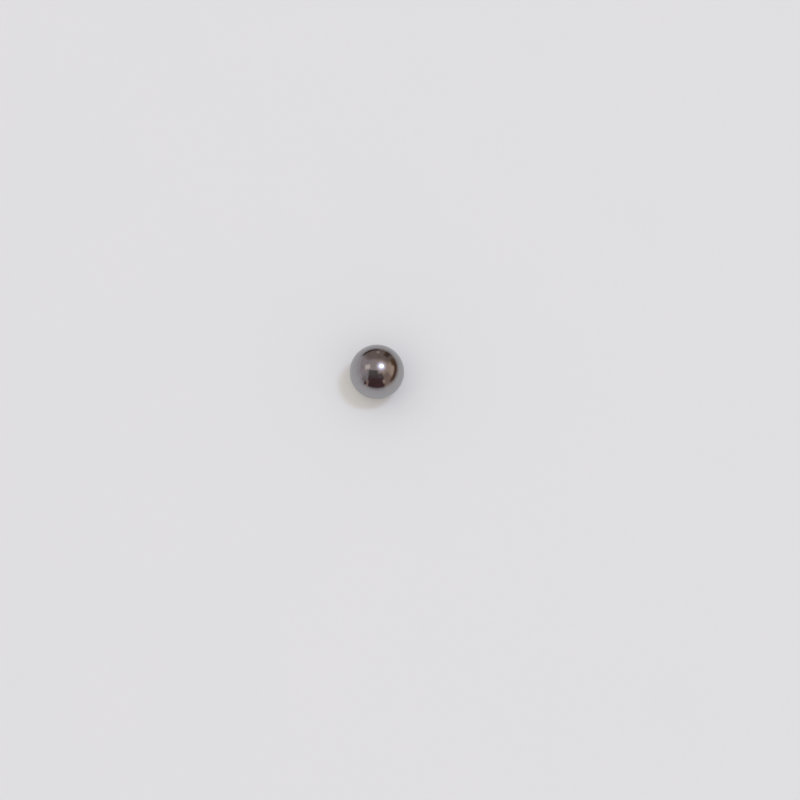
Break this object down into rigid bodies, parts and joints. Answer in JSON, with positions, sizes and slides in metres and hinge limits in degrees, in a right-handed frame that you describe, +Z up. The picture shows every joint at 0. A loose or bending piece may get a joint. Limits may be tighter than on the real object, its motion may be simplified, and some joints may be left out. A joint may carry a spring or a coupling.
{
  "type": "steel ball",
  "caption": "Solid polished steel ball, a true sphere with a bright lapped finish, for bearings, detents, valves and bench use.",
  "frame": {"origin": "centre of the ball", "axes": "+Z up; every axis through the centre is alike"},
  "size_m": [0.006, 0.006, 0.006],
  "materials": {
    "polished_steel": "polished"
  },
  "bodies": {
    "root": {"steel_ball": "polished_steel"}
  },
  "joints": []
}
